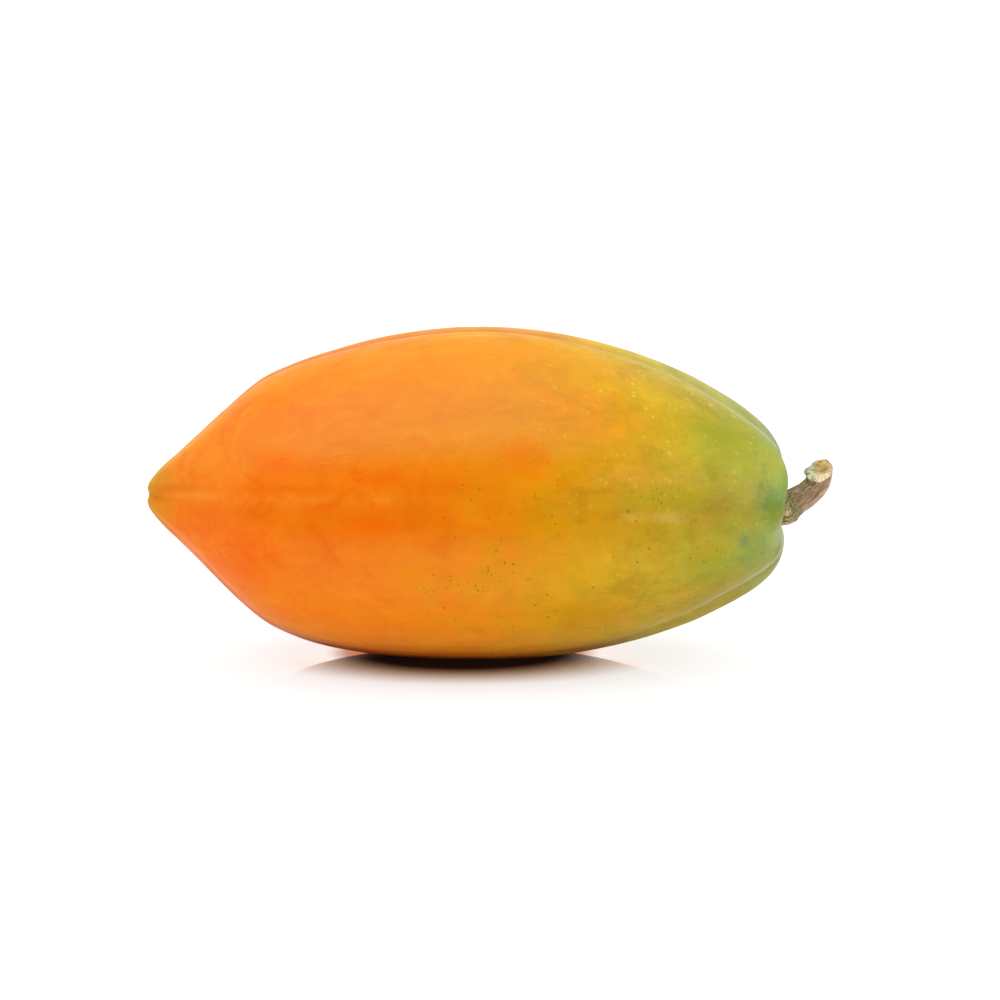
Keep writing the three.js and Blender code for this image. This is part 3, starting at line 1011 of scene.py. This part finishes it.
@dataclass
class Stalk:
    """The short cut stalk with its thick collar; sizes in millimetres, angles in degrees."""

    finish: BarkFinish = field(default_factory=BarkFinish)
    around: int = 160
    rings: int = 200
    line: tuple = (
        (243.4, 0, 59), (250.6, 0, 60.2), (255.1, 0, 62.7), (259.4, -0.5, 65.6),
        (262.5, -2, 69), (263.5, -4.2, 72.4), (263.7, -7, 76), (263.8, -11, 80.5),
    )
    radius: Stations = (
        (0, 6.2), (0.17, 7), (0.22, 6.8), (0.28, 5.6), (0.35, 5.3), (0.48, 5), (0.6, 4.8), (1, 4.8),
    )
    root_share: float = 0.05
    ridges: int = 7
    ridge_height: float = 0.16
    knuckle: tuple = (0.76, 8.0, 2.4, 0.05, 30.0)
    cut_centre: tuple = (263.6, -5.6, 74.5)
    cut_facing: tuple = (-0.24, -0.82, 0.5)
    caps: tuple = (0.06, 0.78)

    def _line_at(self, share: np.ndarray) -> tuple[np.ndarray, np.ndarray]:
        """Centre line of the stalk.

        Args:
            share: Shares of its length.

        Returns:
            Places, and unit headings.
        """
        knots = np.array(self.line, dtype=float)
        chords = np.concatenate([[0.0], np.cumsum(np.linalg.norm(np.diff(knots, axis=0), axis=1))])
        chords /= chords[-1]

        def read(x: np.ndarray) -> np.ndarray:
            """Places on the line, one column for each axis."""
            return np.column_stack([curve_through(list(zip(chords, axis)), x) for axis in knots.T])

        ahead = read(np.clip(share + 1e-3, 0, 1)) - read(np.clip(share - 1e-3, 0, 1))
        return read(share), ahead / np.linalg.norm(ahead, axis=1)[:, None]

    def _skin(self, share: np.ndarray, angle: np.ndarray) -> tuple[np.ndarray, np.ndarray]:
        """Points of the bark.

        Args:
            share: Shares of the stalk's length.
            angle: Angles round it, in radians; 0 is its upper side.

        Returns:
            Places, and the direction outwards at each.
        """
        centre, ahead = self._line_at(share)
        up = np.cross(ahead, [0.0, 1.0, 0.0])
        up /= np.linalg.norm(up, axis=1)[:, None]
        side = np.cross(ahead, up)
        out = up * np.cos(angle)[:, None] + side * np.sin(angle)[:, None]
        at, facing, rise, length, spread = self.knuckle
        off = np.angle(np.exp(1j * (angle - math.radians(facing))))
        bump = rise * np.exp(-((off / math.radians(spread)) ** 2) - ((share - at) / length) ** 2)
        ridge = self.ridge_height * np.cos(self.ridges * angle + 2.0 * share)
        size = blend(self.radius, share) + ridge + bump
        fibre_spot = np.column_stack([np.cos(angle) * 5.0, np.sin(angle) * 5.0, share * 6.0])
        size = size + 0.22 * wander(fibre_spot, 0.55, 1.7) + 0.1 * wander(fibre_spot, 0.22, 5.2)
        crust = ease((share - 0.14) / 0.03) * ease((0.34 - share) / 0.08)
        scale_spot = np.column_stack([np.cos(angle) * 5.0, np.sin(angle) * 5.0, share * 30.0])
        size = size + crust * (0.35 * wander(scale_spot, 1.3, 9.0) + 0.15 * wander(scale_spot, 0.6, 2.0))
        return centre + out * size[:, None], out

    def _cut_share(self, angle: np.ndarray) -> np.ndarray:
        """Share of the length at which each line along the bark meets the slanting cut.

        Args:
            angle: Angles round the stalk.

        Returns:
            One share for each angle.
        """
        facing = np.array(self.cut_facing) / np.linalg.norm(self.cut_facing)
        low, high = np.full(len(angle), 0.4), np.full(len(angle), 1.0)
        for _ in range(24):
            middle = 0.5 * (low + high)
            beyond = (self._skin(middle, angle)[0] - np.array(self.cut_centre)) @ facing > 0
            high = np.where(beyond, middle, high)
            low = np.where(beyond, low, middle)
        return 0.5 * (low + high)

    def _lay(self, turn: np.ndarray, fall: np.ndarray) -> tuple[np.ndarray, dict[str, np.ndarray]]:
        """Lay a ball's grid over the root, the bark and the cut face.

        Args:
            turn: Step round the axis for each point.
            fall: Step from the root's middle for each point.

        Returns:
            Places in millimetres, and the values that the material reads.
        """
        along = fall / self.rings
        angle = 2.0 * math.pi * turn / self.around
        steps = 2.0 * math.pi * np.arange(self.around) / self.around
        end = self._cut_share(steps)[turn]
        root, top = self.caps
        share = self.root_share + (end - self.root_share) * np.clip((along - root) / (top - root), 0, 1)
        bark, _ = self._skin(share, angle)
        rim = np.where(along > top, (1.0 - along) / (1.0 - top), np.where(along < root, along / root, 1.0))
        heart = np.array(self.cut_centre) + np.array([0.6, 0.0, 0.4])
        base, _ = self._line_at(np.full(1, self.root_share))
        centre = np.where((along > top)[:, None], heart, base[0])
        spots = centre + (bark - centre) * rim[:, None]
        facing = np.array(self.cut_facing) / np.linalg.norm(self.cut_facing)
        face = along > top
        hollow = 0.7 * ease((0.8 - rim) / 0.6) + 0.25 * wander(spots, 2.2, 4.0) * ease((1.0 - rim) / 0.2)
        spots -= facing * np.where(face, hollow, 0.0)[:, None]
        run = 37.0 * share - 7.2
        grain = np.column_stack([np.cos(angle) * 5.0, np.sin(angle) * 5.0, 0.22 * run])
        return rolled(spots), {
            "run": run, "rim": rim, "grain": grain,
            "cut": np.where(face, ease((1.0 - rim) / 0.06), 0.0),
        }

    def build(self) -> bpy.types.Object:
        """Make the stalk and hand it to the frame.

        Returns:
            The stalk.
        """
        mesh, turn, fall = ball_grid(self.around, self.rings)
        spots, fields = self._lay(turn, fall)
        piece = finish_piece("papaya_stalk", mesh, spots, fields, self.finish.build())
        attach(piece, "root")
        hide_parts("stem")
        return piece


# ---- studio ------------------------------------------------------------------------------------


@dataclass
class Studio:
    """White floor, soft light and a long lens.

    Lengths are in metres, but aim_along and the sensor in millimetres; scale is the length that one
    pixel of the square render covers, and aim_pixel is where the point aimed at shows in it.
    """

    floor_size: float = 12.0
    distance: float = 1.8
    elevation: float = 14.0
    scale: float = 0.3931 * MM
    aim_along: float = 130.7
    aim_pixel: tuple = (481.0, 494.65)
    sky: float = 1.12
    key_power: float = 8.0
    key_size: tuple = (1.3, 0.8)
    key_place: tuple = (0.0, 0.44, 1.13)
    key_aim: tuple = (0.0, 0.0, 0.06)
    floor_drop: float = 0.0001
    sensor: float = 36.0
    pixels: int = 1000

    def build_floor(self) -> bpy.types.Object:
        """Make the floor.

        Returns:
            The floor.
        """
        mesh = bmesh.new()
        bmesh.ops.create_grid(mesh, x_segments=2, y_segments=2, size=self.floor_size / 2)
        bmesh.ops.translate(mesh, vec=(0.0, 0.0, -self.floor_drop), verts=mesh.verts)
        data = bpy.data.meshes.new("studio_floor")
        mesh.to_mesh(data)
        mesh.free()
        floor = bpy.data.objects.new("studio_floor", data)
        bpy.context.scene.collection.objects.link(floor)
        data.materials.append(FloorFinish().build())
        return floor

    def light(self) -> None:
        """Light the floor with a white sky and one broad lamp overhead."""
        world = bpy.data.worlds.new("white_sky")
        world.use_nodes = True
        background = world.node_tree.nodes["Background"]
        background.inputs["Color"].default_value = (1, 1, 1, 1)
        background.inputs["Strength"].default_value = self.sky
        bpy.context.scene.world = world
        lamp = bpy.data.lights.new("overhead_softbox", "AREA")
        lamp.shape = "RECTANGLE"
        lamp.size, lamp.size_y = self.key_size
        lamp.energy = self.key_power
        holder = bpy.data.objects.new("overhead_softbox", lamp)
        holder.location = self.key_place
        aim = Vector(self.key_aim) - holder.location
        holder.rotation_euler = aim.to_track_quat("-Z", "Y").to_euler()
        bpy.context.scene.collection.objects.link(holder)

    def aim_camera(self) -> bpy.types.Object:
        """Set up the camera, looking along +Y and down at the fruit.

        Returns:
            The camera.
        """
        lens = bpy.data.cameras.new("camera")
        lens.sensor_width = self.sensor
        lens.lens = self.sensor * self.distance / (self.pixels * self.scale)
        lens.clip_end = 50.0
        tilt = math.radians(self.elevation)
        ahead = Vector((0.0, math.cos(tilt), -math.sin(tilt)))
        up = Vector((0.0, math.sin(tilt), math.cos(tilt)))
        px, py = self.aim_pixel
        target = Vector((TIP + np.array([self.aim_along, 0.0, AXLE])) * MM)
        middle = self.pixels // 2
        target += (Vector((1, 0, 0)) * (middle - px) + up * (py - middle)) * self.scale
        camera = bpy.data.objects.new("camera", lens)
        camera.location = target - ahead * self.distance
        camera.rotation_euler = (math.radians(90) - tilt, 0.0, 0.0)
        bpy.context.scene.collection.objects.link(camera)
        bpy.context.scene.camera = camera
        return camera


def main() -> None:
    """Build the studio and the papaya."""
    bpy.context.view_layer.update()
    bpy.context.scene.view_settings.view_transform = "Standard"
    studio = Studio()
    studio.aim_camera()
    studio.build_floor()
    studio.light()
    for part in (Fruit(), Stalk()):
        piece = part.build()
        log.info("%s: %d points, %d faces", piece.name, len(piece.data.vertices), len(piece.data.polygons))


if __name__ == "__main__":
    main()
